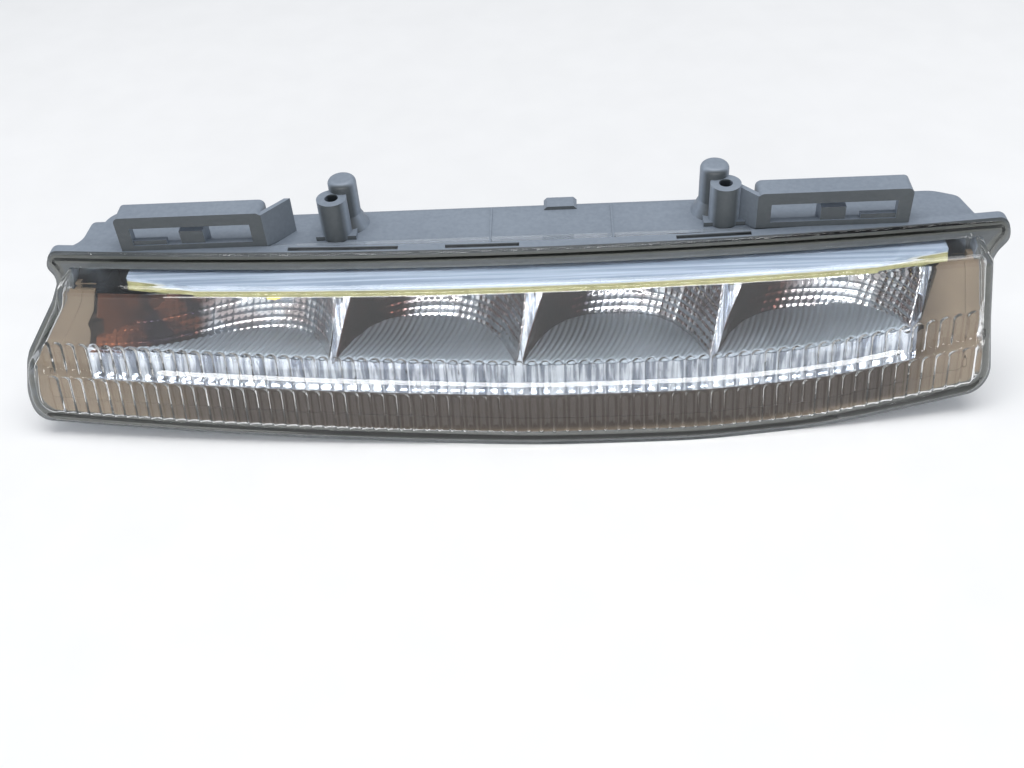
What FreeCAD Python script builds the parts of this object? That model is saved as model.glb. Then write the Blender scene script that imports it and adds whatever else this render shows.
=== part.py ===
import FreeCAD, Part
import math
import os

# Daytime running light, in millimetres.
# Origin: midway between the two fixing bosses, on their top faces.
# +X runs along the lamp, -Y is the way the light shines, +Z is up.

V = FreeCAD.Vector

# Bow of the front in plan: every front surface turns about an upright axis behind the lamp.
bow_radius = 1350.0
bow_sweep = 20.0

# Rim, where housing and lens meet
rim_top = -11.0
rim_front_y = -11.1
rim_lean = 22.0
rim_depth = 4.2
rim_width = 5.0
rim_notches = ((-64.0, -34.5), (-22.0, -2.5), (38.5, 58.0))
rim_notch_depth = 0.8
rim_notch_land = 0.6
left_reach = 143.6
right_reach = 124.6
rim_bottom = -62.6

# Lens
lens_wall = 2.2
lens_flange = 1.4
lens_edge_gap = 0.25
lens_side_inset = 1.5
lens_bottom_inset = 3.5
lens_roof_y = -21.9
lens_roof_z = -14.6
roof_slope = 9.6
face_lean = 14.7
lens_edge_radius = 2.4
lens_roof_radius = 3.2
flute_pitch = 3.5
flute_bulge = 0.8
flute_root = 1.0
flute_band = 25.5
flute_start = -26.0
flute_left = -135.0
flute_right = 119.0

# Glue groove and the lens leg in it
groove_outer = 1.1
groove_inner = 3.3
groove_depth = 1.8
leg_clearance = 0.7
leg_tip_gap = 0.3
leg_overlap = 0.2

# Housing tub
tub_wall = 2.2
tub_inset = 2.5
tub_top = -11.6
tub_back = 12.5
tub_back_low = 4.0
tub_knee_z = -50.0
tub_radius = 3.0
tub_side_step = 13.5
turret_x = -111.0
turret_radius = 7.4
turret_height = 9.0
crest_left = 4.0
crest_length = 9.0
crest_width = 4.5
crest_height = 1.0
top_ribs = (-10.5, 22.0)
top_rib_width = 0.5
top_rib_height = 0.35

# Fixing bosses and locating pegs
boss_spacing = 103.0
boss_radius = 4.0
boss_hole_radius = 1.8
boss_hole_depth = 9.0
peg_radius = 3.8
peg_rise = 2.8
peg_back = 5.2
peg_inward = 2.4
peg_top_radius = 1.4
peg_flare = 2.4
peg_flare_height = 5.0
foot_reach = 1.4
foot_width = 5.2
foot_height = 1.2

# Locking pockets
pocket_front = -5.0
pocket_depth = 6.6
pocket_plate = 2.0
pocket_height = 11.0
pocket_length = 39.4
pocket_skin = 1.8
window_height = 5.4
window_sill = 2.2
window_margin = 3.6
tongue_width = 6.4
tongue_low = 1.6
pocket_corner = 1.6
splay_run = 6.6
splay_wall = 1.6
bar_length = 9.0
bar_wall = 1.5
bar_rise = 1.3
bar_set = 0.4
pocket_spots = ((-109.1, -1), (98.7, 1))

# Reflector cells: floor centre, apex, reach to the left, reach to the right
cell_top = -19.9
cell_height = 19.1
cell_shift = 5.0
cell_lean = 3.0
cell_rows = 5
reflector_wall = 1.4
floor_rise = 23.2
apron_rise = 14.6
partition_lines = (-54.7, -3.8, 47.9, 100.0)
partition_wall = 1.2
partition_offset = 0.8
apexes = (-9.1, -3.2, -3.0, -4.5)
first_cell_end = -121.0
first_cell_centre = -73.0
long_side_depth = 9.0
long_side_run = 38.0
lip_y = -24.2
roof_edge_y = -17.3
apron_lean = 12.5
post_reach = 8.0
post_wall = 1.5
web_set = 0.3

# Plates over the cells
board_thickness = 1.6
pad_thickness = 0.3
spreader_thickness = 0.9
plate_stack = board_thickness + pad_thickness + spreader_thickness
plate_left = -108.2
plate_right = 108.6
plate_back = 5.0
plate_front_corner = 19.0
plate_front_fall = 7.5
plate_back_corner = 5.0
board_lip = 0.4

# Light sources
led_size = 3.5
led_height = 0.8
led_dome = 1.3
led_y = -7.5
led_overhang = 3.0

# Bezel
bezel_gap = 0.3
bezel_wall = 1.5
bezel_set = 0.4
bezel_skirt = 2.0

# Fasteners
screw_radius = 1.1
screw_head_radius = 2.2
screw_head_height = 1.4
screw_slot_width = 0.6
screw_slot_length = 2.8
screw_slot_depth = 0.5
screw_fit = 0.02
screw_passage = 0.15
screw_tip_gap = 0.3
board_screw_y = -3.0
board_screw_length = 8.0
ear_screw_length = 8.0
post_radius = 3.0
ear_size = 6.8
ear_wall = 1.6
ear_root = 11.0
ear_height = -29.0
ear_seats = (-5.7, -8.0)
ear_outward = (1.0, 4.5)

# Driver
driver_left = -36.0
driver_right = 48.0
driver_low = -49.0
driver_high = -24.0
driver_face_y = 6.2
driver_wall = 1.6
driver_screw_length = 3.6
driver_screw_inset = 4.0
chip_left = 12.0
chip_width = 6.0
chip_height = 5.0
chip_thickness = 1.4
chip_rise = 8.0
piece_rise = 5.0
inductor_x = 2.0
inductor_base = 9.0
inductor_radius = 3.9
inductor_height = 5.0
can_spots = (-18.0, -9.5)
can_base = 6.8
can_radius = 3.15
can_height = 7.4
base_height = 1.0

# Socket on the back
socket_x = 32.0
socket_z = -37.0
socket_width = 17.0
socket_height = 11.0
socket_length = 11.0
socket_wall = 1.6
blade_width = 2.4
blade_thickness = 0.8
blade_spacing = 6.0
blade_reach = 8.0
blade_clearance = 0.1
blade_tail = 0.8
socket_corner = 2.5
seal_depth = 2.0
seal_wall = 1.5

# Vent on the back
vent_x = -62.0
vent_z = -30.0
vent_outer = 3.5
vent_bore = 2.0
vent_length = 6.0
cap_wall = 1.8
cap_gap = 0.05
cap_radius = 1.2
cap_notch = 2.0
membrane_thickness = 0.3

# Leads between the two boards
lead_radius = 0.6
lead_bend = 1.8
lead_drop = -28.0
lead_y = 3.4
lead_spots = {"lead_red": -5.0, "lead_black": -2.4}

far = 80.0


def tan(angle):
    return math.tan(math.radians(angle))


def rim_y(z):
    """Depth of the leaning rim plane at a height, on the middle section."""
    return rim_front_y + (z - rim_top) * tan(rim_lean)


def bow(x):
    """How far a front surface falls back at a place along the lamp."""
    return bow_radius - math.sqrt(bow_radius ** 2 - x ** 2)


def rounded(points, place):
    """Closed wire through (a, b, radius) corners, each turned by a tangent arc."""
    count = len(points)
    turns = []
    for i in range(count):
        here = V(points[i][0], points[i][1], 0)
        back = (V(points[i - 1][0], points[i - 1][1], 0) - here).normalize()
        ahead = points[(i + 1) % count]
        on = (V(ahead[0], ahead[1], 0) - here).normalize()
        radius = points[i][2]
        half = back.getAngle(on) / 2
        cut = radius / math.tan(half)
        middle = (back + on).normalize() * (radius / math.sin(half) - radius)
        turns.append((here + back * cut, here + middle, here + on * cut, radius))
    edges = []
    for i in range(count):
        start, middle, end, radius = turns[i]
        last_end = turns[i - 1][2]
        if last_end.distanceToPoint(start) > 1e-6:
            edges.append(Part.LineSegment(place(last_end), place(start)).toShape())
        if radius > 0:
            edges.append(Part.Arc(place(start), place(middle), place(end)).toShape())
    return Part.Wire(edges)


def front_place(p):
    return V(p.x, -far, p.y)


def plan_place(p):
    return V(p.x, p.y, 0)


def polygon(points):
    return Part.Wire(Part.makePolygon(points + points[:1]))


def section(points):
    """Face on the middle section from (y, z, radius) corners."""
    return Part.Face(rounded(points, lambda p: V(0, p.x, p.y)))


def bowed(points):
    """Solid that carries a middle section along the bow of the front."""
    face = section(points)
    axis = V(0, bow_radius, 0)
    face.rotate(axis, V(0, 0, 1), -bow_sweep / 2)
    return face.revolve(axis, V(0, 0, 1), bow_sweep)


def box(x0, x1, y0, y1, z0, z1):
    return Part.makeBox(x1 - x0, y1 - y0, z1 - z0, V(x0, y0, z0))


def fused(shapes):
    return shapes[0].multiFuse(shapes[1:]) if len(shapes) > 1 else shapes[0]


def rim_outline():
    """Outline of the rim seen from the front, as (x, z, radius) corners."""
    left = -left_reach
    right = right_reach
    return (
        (left + 13.0, rim_top, 3.0), (right + 0.6, rim_top, 3.0), (right + 0.6, rim_top - 5.0, 3.0),
        (right - 3.8, rim_top - 9.0, 6.0), (right - 0.6, rim_bottom + 8.3, 7.0),
        (78.0, rim_bottom + 1.6, 200.0), (45.0, rim_bottom, 300.0), (0.0, rim_bottom + 0.4, 500.0),
        (left + 1.4, rim_bottom + 6.4, 5.5), (left, rim_bottom + 14.1, 12.0),
        (left + 2.0, rim_bottom + 24.1, 10.0), (left + 12.2, rim_top - 13.0, 8.0),
        (left + 15.4, rim_top - 6.5, 3.0), (left + 12.8, rim_top - 4.0, 2.0),
    )


def body_outline(bottom_inset):
    """Outline shared by the lens's raised body and the tub: the rim's without its lobes."""
    left = -left_reach + lens_side_inset
    right = right_reach - lens_side_inset
    bottom = rim_bottom + bottom_inset
    return (
        (left + 15.4, 0.0, 0.0), (right - 3.8, 0.0, 0.0), (right - 3.8, rim_top - 9.0, 10.0),
        (right - 0.6, bottom + 8.3, 7.0), (78.0, bottom + 1.6, 200.0), (45.0, bottom, 300.0),
        (0.0, bottom + 0.4, 500.0), (left + 0.4, bottom + 6.2, 7.0),
        (left + 1.4, rim_bottom + 23.0, 14.0), (left + 15.4, rim_top - 8.5, 12.0),
    )


def prism(inset, rise=0.0, outline=None):
    """Block along Y inside an outline, the rim's by default, set in and lifted."""
    wire = rounded(outline or rim_outline(), front_place)
    if inset:
        wire = wire.makeOffset2D(-inset)
    block = Part.Face(wire).extrude(V(0, 2 * far, 0))
    block.translate(V(0, 0, rise))
    return block


def slab(near, deep):
    """Layer parallel to the rim plane, between two depths behind it."""
    high = 20.0
    low = -80.0
    return bowed(((rim_y(high) + near, high, 0.0), (rim_y(high) + deep, high, 0.0),
                  (rim_y(low) + deep, low, 0.0), (rim_y(low) + near, low, 0.0)))


def ring(outer, inner, near, deep):
    """Frame that follows the rim between two insets and two depths."""
    return slab(near, deep).common(prism(outer).cut(prism(inner)))


def lens_face_y(z):
    return lens_roof_y - (lens_roof_z - z) * tan(face_lean)


def lens_block(wall, edge_radius):
    """Solid block under the lens's skin; wall is how far the skin is set in."""
    side = wall / math.cos(math.radians(face_lean))
    drop = wall / math.cos(math.radians(roof_slope))
    corner_y = lens_roof_y + side
    corner_z = lens_roof_z - drop + side * tan(roof_slope)
    low = -80.0
    meet = 1 - tan(roof_slope) * tan(rim_lean)
    back_y = (rim_y(corner_z - corner_y * tan(roof_slope)) + lens_flange) / meet
    roof_back = corner_z + (back_y - corner_y) * tan(roof_slope)
    block = bowed(((back_y, roof_back, 0.0), (corner_y, corner_z, lens_roof_radius - wall),
                   (lens_face_y(low) + side, low, 0.0), (rim_y(low) + lens_flange, low, 0.0)))
    block = block.common(prism(wall, 0.0, body_outline(lens_bottom_inset)))
    if edge_radius == 0:
        return block
    front = min(block.Faces, key=lambda f: f.CenterOfMass.y if f.Area > 2000 else 0.0)
    return block.makeFillet(edge_radius, [e for e in front.Edges if e.CenterOfMass.z < lens_roof_z - 3])


def flutes(block):
    """Upright half-round ribs on the inside of the lens's lower zone."""
    skin = lens_wall / math.cos(math.radians(face_lean))
    inside = lens_face_y(flute_start) + skin
    count = int((flute_right - flute_left) / flute_pitch)
    edges = []
    corners = []
    for i in range(count + 1):
        x = flute_left + i * flute_pitch
        corners.append(V(x, inside + bow(x), flute_start))
    for a, b in zip(corners[:-1], corners[1:]):
        middle = (a + b) * 0.5 + V(0, flute_bulge, 0)
        edges.append(Part.Arc(a, middle, b).toShape())
    last = corners[-1] - V(0, flute_root, 0)
    first = corners[0] - V(0, flute_root, 0)
    front = V(0, inside - flute_root, flute_start)
    edges.append(Part.LineSegment(corners[-1], last).toShape())
    edges.append(Part.Arc(last, front, first).toShape())
    edges.append(Part.LineSegment(first, corners[0]).toShape())
    comb = Part.Face(Part.Wire(edges))
    lean = math.radians(face_lean)
    comb = comb.extrude(V(0, -math.sin(lean), -math.cos(lean)) * far)
    return comb.common(block).cut(prism(0.0, flute_band))


def leg():
    """Leg on the lens's flange that stands in the glue groove."""
    return ring(groove_outer + leg_clearance, groove_inner - leg_clearance,
                lens_flange - leg_overlap, lens_flange + groove_depth - leg_tip_gap)


def make_lens():
    outer = lens_block(0.0, lens_edge_radius)
    flange = slab(0.0, lens_flange).common(prism(lens_edge_gap))
    shell = outer.fuse(flange).cut(lens_block(lens_wall, 0.0))
    return shell.fuse(leg()).fuse(flutes(outer))


def make_seal():
    return ring(groove_outer, groove_inner, lens_flange, lens_flange + groove_depth).cut(leg())


def tub_block(wall, start):
    """Tub volume from a depth behind the rim plane; wall is how far its skin is set in."""
    left = -left_reach + 0.6
    right = right_reach - 1.4
    plan = rounded((
        (left, -far, 0.0), (left, -tub_side_step, 3.0), (left + 20.8, 1.0, 6.0), (left + 21.4, tub_back, 4.0),
        (right - 19.2, tub_back, 3.0), (right - 8.6, tub_back - 5.0, 3.0), (right - 6.0, -3.0, 6.0),
        (right, -tub_side_step - 3.5, 4.0), (right, -far, 0.0),
    ), plan_place)
    low = -70.0
    side = rounded((
        (rim_y(tub_top) - 1.0, tub_top, 0.0), (tub_back, tub_top, tub_radius), (tub_back, tub_knee_z, 6.0),
        (tub_back_low, rim_bottom + tub_inset, 4.0), (tub_back_low - 2.0, low, 0.0),
        (rim_y(low) - 1.0, low, 0.0),
    ), lambda p: V(-2 * far, p.x, p.y))
    if wall:
        plan = plan.makeOffset2D(-wall)
        side = side.makeOffset2D(-wall)
    block = Part.Face(plan).extrude(V(0, 0, far))
    block.translate(V(0, 0, -far))
    profile = Part.Face(side).extrude(V(4 * far, 0, 0))
    high = 10.0
    front = bowed(((rim_y(high) + start, high, 0.0), (far, high, 0.0),
                   (far, low, 0.0), (rim_y(low) + start, low, 0.0)))
    sides = prism(tub_inset - lens_side_inset + wall, 0.0, body_outline(lens_side_inset))
    return block.common(profile).common(front).common(sides)


def boss(side):
    """Fixing boss with its pilot hole and small feet at the root."""
    x = side * boss_spacing / 2
    root = tub_top - tub_wall / 2
    post = Part.makeCylinder(boss_radius, -root, V(x, 0, root))
    reach = boss_radius + foot_reach
    feet = box(x - reach, x + reach, -foot_width / 2, foot_width / 2, root, tub_top + foot_height)
    return post.fuse(feet)


def peg(side):
    """Round-topped locating peg behind a boss, flared at the root."""
    x = side * (boss_spacing / 2 - peg_inward)
    y = peg_back
    root = tub_top - tub_wall / 2
    post = Part.makeCylinder(peg_radius, peg_rise - root, V(x, y, root))
    post = post.makeFillet(peg_top_radius, [e for e in post.Edges if e.CenterOfMass.z > peg_rise - 0.1])
    flare = Part.makeCone(peg_radius + peg_flare, peg_radius, peg_flare_height, V(x, y, root))
    return post.fuse(flare).common(box(-2 * far, 2 * far, -far, tub_back, -far, far))


def pocket(end, way):
    """Locking pocket: front plate with a window, a roof and a splayed inner wall."""
    inner = end - way * pocket_length
    x0 = min(end, inner)
    x1 = max(end, inner)
    floor = tub_top - tub_wall / 2
    top = tub_top + pocket_height
    back = pocket_front + pocket_depth
    plate = rounded(((x0, floor, 0.0), (x0, top, pocket_corner), (x1, top, pocket_corner), (x1, floor, 0.0)),
                    lambda p: V(p.x, pocket_front, p.y))
    plate = Part.Face(plate).extrude(V(0, pocket_depth, 0))
    splay_end = inner - way * splay_run
    splay_back = back + 1.0
    splay = polygon([V(inner, pocket_front, floor), V(splay_end, splay_back, floor),
                     V(splay_end + way * splay_wall, splay_back, floor),
                     V(inner + way * pocket_skin, pocket_front, floor)])
    splay = Part.Face(splay).extrude(V(0, 0, top - floor - 0.6))
    hollow = box(x0 + pocket_skin, x1 - pocket_skin, pocket_front + pocket_plate, splay_back,
                 tub_top + 0.01, top - pocket_skin)
    sill = tub_top + window_sill
    window = box(x0 + window_margin, x1 - window_margin, pocket_front - 1.0,
                 pocket_front + pocket_plate + 0.1, sill, sill + window_height)
    centre = (x0 + x1) / 2
    tongue = box(centre - tongue_width / 2, centre + tongue_width / 2, pocket_front + 0.5, back - 0.6,
                 tub_top - 0.5, sill + window_height - tongue_low)
    bar_end = end - way * window_margin
    bar_inner = bar_end - way * bar_length
    bar_face = pocket_front + bar_set
    bar = box(min(bar_end, bar_inner), max(bar_end, bar_inner), bar_face, bar_face + bar_wall,
              sill - 0.5, sill + bar_rise)
    return fused([plate.cut(hollow).cut(window), splay, tongue, bar])


def along_y(radius, length, x, y, z):
    return Part.makeCylinder(radius, length, V(x, y, z), V(0, 1, 0))


def screw(length):
    """Pan-head screw with a cross slot, its seat at the origin and its shank down -Z."""
    shank = Part.makeCylinder(screw_radius, length + screw_head_height / 2, V(0, 0, -length))
    head = Part.makeCylinder(screw_head_radius, screw_head_height)
    low = screw_head_height - screw_slot_depth
    width = screw_slot_width / 2
    reach = screw_slot_length / 2
    slots = box(-width, width, -reach, reach, low, far).fuse(box(-reach, reach, -width, width, low, far))
    return shank.fuse(head).cut(slots)


def screw_y(x, y, z, length):
    """Screw driven from the front; y is the seat under the head."""
    body = screw(length)
    body.rotate(V(0, 0, 0), V(1, 0, 0), 90)
    body.translate(V(x, y, z))
    return body


def screw_z(x, y, z, length):
    """Screw driven from above; z is the seat under the head."""
    body = screw(length)
    body.translate(V(x, y, z))
    return body


def turret():
    """Rounded bump at the top left of the tub's back."""
    return Part.makeCylinder(turret_radius, turret_height,
                             V(turret_x, tub_back - turret_radius / 2, tub_top - turret_height))


def crest():
    """Low swelling on the back edge of the tub's top."""
    block = box(crest_left, crest_left + crest_length, tub_back - crest_width, tub_back,
                tub_top - tub_wall, tub_top + crest_height)
    ends = [e for e in block.Edges if abs(e.CenterOfMass.z - tub_top - crest_height) < 0.01
            and abs(e.CenterOfMass.x - crest_left - crest_length / 2) > 1.0]
    return block.makeChamfer(crest_height * 0.9, ends)


def top_rib(x):
    """Thin rib across the tub's top."""
    return box(x, x + top_rib_width, rim_y(tub_top) + rim_depth, tub_back - tub_radius,
               tub_top - tub_wall / 2, tub_top + top_rib_height)


def rim_notch(left, right):
    """Shallow window sunk into the top of the rim."""
    near = lens_flange + rim_notch_land
    far_side = rim_depth - rim_notch_land
    high = rim_top + 1.0
    low = rim_top - rim_notch_depth
    strip = bowed(((rim_y(high) + near, high, 0.0), (rim_y(high) + far_side, high, 0.0),
                   (rim_y(low) + far_side, low, 0.0), (rim_y(low) + near, low, 0.0)))
    return strip.common(box(left, right, -far, far, low, high))


def ear_spots():
    """Reflector ears as (x, seat y, z)."""
    return ((first_cell_end - ear_outward[0], ear_seats[0], ear_height),
            (partition_lines[-1] + ear_outward[1], ear_seats[1], ear_height))


def driver_spots():
    return tuple((x, z) for x in (driver_left + driver_screw_inset, driver_right - driver_screw_inset)
                 for z in (driver_low + driver_screw_inset, driver_high - driver_screw_inset))


def partition_tops():
    """Places of the board's screws along the lamp, over the inner partitions."""
    return tuple(x + cell_shift - partition_offset for x in partition_lines[:-1])


def socket_ring(grow, length, start):
    w = socket_width / 2 + grow
    h = socket_height / 2 + grow
    radius = socket_corner + grow
    corners = ((-w, -h, radius), (w, -h, radius), (w, h, radius), (-w, h, radius))
    wire = rounded(corners, lambda p: V(socket_x + p.x, start, socket_z + p.y))
    return Part.Face(wire).extrude(V(0, length, 0))


def blade_spots():
    return tuple(socket_x + side * blade_spacing / 2 for side in (-1, 1))


def make_housing():
    back_inside = tub_back - tub_wall
    rim = ring(0.0, rim_width, lens_flange, rim_depth)
    solids = [rim, tub_block(0.0, rim_depth - 1.0), turret(), crest()]
    for side in (-1, 1):
        solids.append(boss(side))
        solids.append(peg(side))
    for x in top_ribs:
        solids.append(top_rib(x))
    for end, way in pocket_spots:
        solids.append(pocket(end, way))
    solids.append(socket_ring(socket_wall, socket_length + 0.5, tub_back - 0.5))
    solids.append(along_y(vent_outer, vent_length + 1.0, vent_x, tub_back - 1.0, vent_z))
    body = solids[0]
    for solid in solids[1:]:
        body = body.fuse(solid)
    mouth = slab(-5.0, rim_depth + 2.0).common(prism(rim_width))
    body = body.cut(tub_block(tub_wall, rim_depth)).cut(mouth)
    posts = []
    for x, seat, z in ear_spots():
        posts.append(along_y(post_radius, back_inside + 1.0 - seat, x, seat, z).common(tub_block(1.0, 0.0)))
    tip = driver_face_y + driver_wall
    for x, z in driver_spots():
        posts.append(along_y(post_radius, back_inside + 1.0 - tip, x, tip, z))
    body = fused([body] + posts)
    cuts = [ring(groove_outer, groove_inner, 0.0, lens_flange + groove_depth)]
    for left, right in rim_notches:
        cuts.append(rim_notch(left, right))
    hole = screw_radius + screw_fit
    for x, seat, z in ear_spots():
        cuts.append(along_y(hole, ear_screw_length - ear_wall + screw_tip_gap, x, seat, z))
    for x, z in driver_spots():
        cuts.append(along_y(hole, driver_screw_length + screw_tip_gap, x, driver_face_y, z))
    for side in (-1, 1):
        x = side * boss_spacing / 2
        cuts.append(Part.makeCylinder(boss_hole_radius, boss_hole_depth + 1.0, V(x, 0, -boss_hole_depth)))
    cuts.append(socket_ring(0.0, socket_length + 1.0, tub_back))
    slot_width = blade_width / 2 + blade_clearance
    slot_height = blade_thickness / 2 + blade_clearance
    for x in blade_spots():
        cuts.append(box(x - slot_width, x + slot_width, back_inside - 1.0, tub_back + 1.0,
                        socket_z - slot_height, socket_z + slot_height))
    cuts.append(along_y(vent_bore, vent_length + tub_wall + 2.0, vent_x, back_inside - 1.0, vent_z))
    for cut in cuts:
        body = body.cut(cut)
    return body


def cell_curve(index, grow):
    """Plan of one cell's faceted back wall, as (x, y) points from left to right."""
    left = first_cell_end if index == 0 else partition_lines[index - 1]
    right = partition_lines[index]
    gap = partition_wall / 2
    centre = first_cell_centre if index == 0 else (left + right) / 2
    apex = apexes[index]
    reach_right = right - centre - gap + grow
    reach_left = centre - left - (0.0 if index == 0 else gap) + grow
    depth = lip_y + bow(centre) - apex
    points = []
    steps = 6 if index else 9
    for i in range(steps + 1):
        dx = reach_left * (1 - i / steps)
        if index == 0:
            fall = long_side_depth * math.sin(math.pi / 2 * min(1.0, dx / long_side_run)) ** 2
        else:
            fall = -depth * (0.25 * (dx / reach_left) ** 2 + 0.75 * (dx / reach_left) ** 4)
        points.append((centre - dx, apex + grow - fall))
    for i in range(1, 7):
        t = i / 6
        points.append((centre + reach_right * t, apex + grow + depth * (0.25 * t ** 2 + 0.75 * t ** 4)))
    return points


def cell_path():
    """Steps of the wall from the roof down: sideways shift, lean and height."""
    path = []
    for row in range(cell_rows + 1):
        s = row / cell_rows
        path.append(V(cell_shift * (1 - s), cell_lean * (1 - s ** 2), cell_top - cell_height * s))
    slope = path[-1] - path[-2]
    path.append(path[-1] + slope * 2.0)
    return path


def cell_tool(index, grow, lift):
    """Faceted block that a cell is cut with; grow gives the block round its wall."""
    curve = cell_curve(index, grow)
    path = cell_path()
    start = -60.0
    layers = []
    for k, (a, b) in enumerate(zip(path[:-1], path[1:])):
        base = [V(x + a.x, y + a.y, a.z) for x, y in curve]
        base = [V(base[0].x, start, a.z)] + base + [V(base[-1].x, start, a.z)]
        layers.append(Part.Face(polygon(base)).extrude(b - a))
        if k == 0 and lift:
            layers.append(Part.Face(polygon(base)).extrude(V(0, 0, lift)))
    return fused(layers)


def lip_line(z):
    """Depth of the reflector's front edge at a height, on the middle section."""
    knee = cell_top - cell_height
    if z > knee:
        return lip_y + (z - knee) * (roof_edge_y - lip_y) / cell_height
    return lip_y + (z - knee) * tan(apron_lean)


def make_reflector():
    knee = cell_top - cell_height
    low = -60.0
    cells = range(len(apexes))
    front = bowed(((roof_edge_y, cell_top, 0.0), (far, cell_top, 0.0), (far, low, 0.0),
                   (lip_line(low), low, 0.0), (lip_y, knee, 0.0)))
    outer = fused([cell_tool(i, reflector_wall, 0.0) for i in cells])
    outer = outer.common(front).common(prism(0.0, floor_rise - reflector_wall))
    holes = fused([cell_tool(i, 0.0, 1.0) for i in cells]).common(prism(0.0, floor_rise))
    shell = outer.cut(holes)
    back = reflector_wall
    high = knee + 8.0
    strip = bowed(((lip_line(high), high, 0.0), (lip_line(high) + back, high, 0.0), (lip_y + back, knee, 0.0),
                   (lip_line(low) + back, low, 0.0), (lip_line(low), low, 0.0), (lip_y, knee, 0.0)))
    ends = box(first_cell_end - reflector_wall, partition_lines[-1] + reflector_wall, -far, far, -far, 0)
    apron = strip.common(ends).common(prism(0.0, apron_rise)).cut(prism(0.0, floor_rise))
    solids = [shell, apron]
    for x in partition_tops():
        low_z = cell_top - post_reach
        web = partition_wall / 2 + 0.1
        solids.append(box(x - web, x + web, roof_edge_y + web_set, board_screw_y, low_z, cell_top))
        solids.append(Part.makeCylinder(screw_radius + post_wall, post_reach, V(x, board_screw_y, low_z)))
    walls = (first_cell_end + cell_shift, partition_lines[-1] - 3.0)
    for (x, seat, z), wall in zip(ear_spots(), walls):
        low_z = z - ear_size / 2
        high_z = z + ear_size / 2
        outer_x = x - math.copysign(ear_size / 2, wall - x)
        inner_x = x + math.copysign(screw_head_radius + 0.6, wall - x)
        solids.append(box(min(outer_x, wall), max(outer_x, wall), seat - ear_wall, seat, low_z, high_z))
        solids.append(box(min(inner_x, wall), max(inner_x, wall), seat - ear_root, seat, low_z, high_z))
    body = fused(solids).cut(holes)
    tip = cell_top + plate_stack - board_screw_length - screw_tip_gap
    for x in partition_tops():
        body = body.cut(Part.makeCylinder(screw_radius + screw_fit, far, V(x, board_screw_y, tip)))
    for x, seat, z in ear_spots():
        body = body.cut(along_y(screw_radius + screw_passage, 2 * ear_wall, x, seat - 1.5 * ear_wall, z))
    return body


def plate(low, thickness, lip):
    """Flat plate over the cells, bowed at its front edge with cut-off corners."""
    front = roof_edge_y - lip
    left = plate_left + plate_front_corner
    right = plate_right - plate_front_corner
    start = V(left, front + bow(left), low)
    end = V(right, front + bow(right), low)
    edges = [Part.Arc(start, V(0, front, low), end).toShape()]
    side = front + plate_front_fall
    step = plate_back_corner
    rest = [end, V(plate_right, side, low), V(plate_right, plate_back - step, low),
            V(plate_right - step, plate_back, low), V(plate_left + step, plate_back, low),
            V(plate_left, plate_back - step, low), V(plate_left, side, low), start]
    for a, b in zip(rest[:-1], rest[1:]):
        edges.append(Part.LineSegment(a, b).toShape())
    body = Part.Face(Part.Wire(edges)).extrude(V(0, 0, thickness))
    for x in partition_tops():
        hole = Part.makeCylinder(screw_radius + screw_passage, thickness, V(x, board_screw_y, low))
        body = body.cut(hole)
    return body


def bezel_block(inset):
    """Block that fits inside both the rim's mouth and the lens's wall."""
    mouth = prism(rim_width + bezel_gap + inset)
    return mouth.common(prism(lens_wall + bezel_gap + inset, 0.0, body_outline(lens_bottom_inset)))


def make_bezel():
    face = slab(bezel_set, bezel_set + bezel_wall).common(bezel_block(0.0))
    skirt = bezel_block(0.0).cut(bezel_block(bezel_wall))
    skirt = slab(bezel_set, bezel_set + bezel_wall + bezel_skirt).common(skirt)
    body = face.fuse(skirt)
    left = first_cell_end - reflector_wall - bezel_gap
    right = partition_lines[-1] + reflector_wall + bezel_gap
    knee = cell_top - cell_height
    window = polygon([V(left + cell_shift, -far, cell_top), V(right + cell_shift, -far, cell_top),
                      V(right, -far, knee), V(right, -far, -far), V(left, -far, -far), V(left, -far, knee)])
    window = Part.Face(window).extrude(V(0, 2 * far, 0)).common(prism(0.0, apron_rise - bezel_gap))
    above = box(-2 * far, 2 * far, -far, far, cell_top - bezel_gap, far)
    return body.cut(window).cut(above)


def make_led(index):
    left = first_cell_centre * 2 - partition_lines[0] if index == 0 else partition_lines[index - 1]
    x = (left + partition_lines[index]) / 2 + cell_shift
    half = led_size / 2
    y = led_y + min(0.0, apexes[index] + led_overhang)
    low = cell_top - led_height
    body = box(x - half, x + half, y - half, y + half, low, cell_top)
    below = box(x - half, x + half, y - half, y + half, low - led_dome, low + led_height / 2)
    return body.fuse(Part.makeSphere(led_dome, V(x, y, low)).common(below))


def blade(x, y0, y1):
    return box(x - blade_width / 2, x + blade_width / 2, y0, y1,
               socket_z - blade_thickness / 2, socket_z + blade_thickness / 2)


def make_driver_board():
    body = box(driver_left, driver_right, driver_face_y, driver_face_y + driver_wall, driver_low, driver_high)
    for x, z in driver_spots():
        body = body.cut(along_y(screw_radius + screw_passage, driver_wall, x, driver_face_y, z))
    for x in blade_spots():
        body = body.cut(blade(x, driver_face_y, driver_face_y + driver_wall))
    return body


def on_board(x, z, width, height, thickness):
    """Block that stands on the driver board, centred at x and z."""
    return box(x - width / 2, x + width / 2, driver_face_y - thickness, driver_face_y,
               z - height / 2, z + height / 2)


def make_driver_chip():
    z = driver_low + chip_rise + chip_height / 2
    return on_board(chip_left + chip_width / 2, z, chip_width, chip_height, chip_thickness)


def make_inductor():
    z = driver_low + piece_rise
    base = on_board(inductor_x, z, inductor_base, inductor_base, base_height)
    core = along_y(inductor_radius, inductor_height, inductor_x, driver_face_y - inductor_height, z)
    return base.fuse(core)


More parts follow.
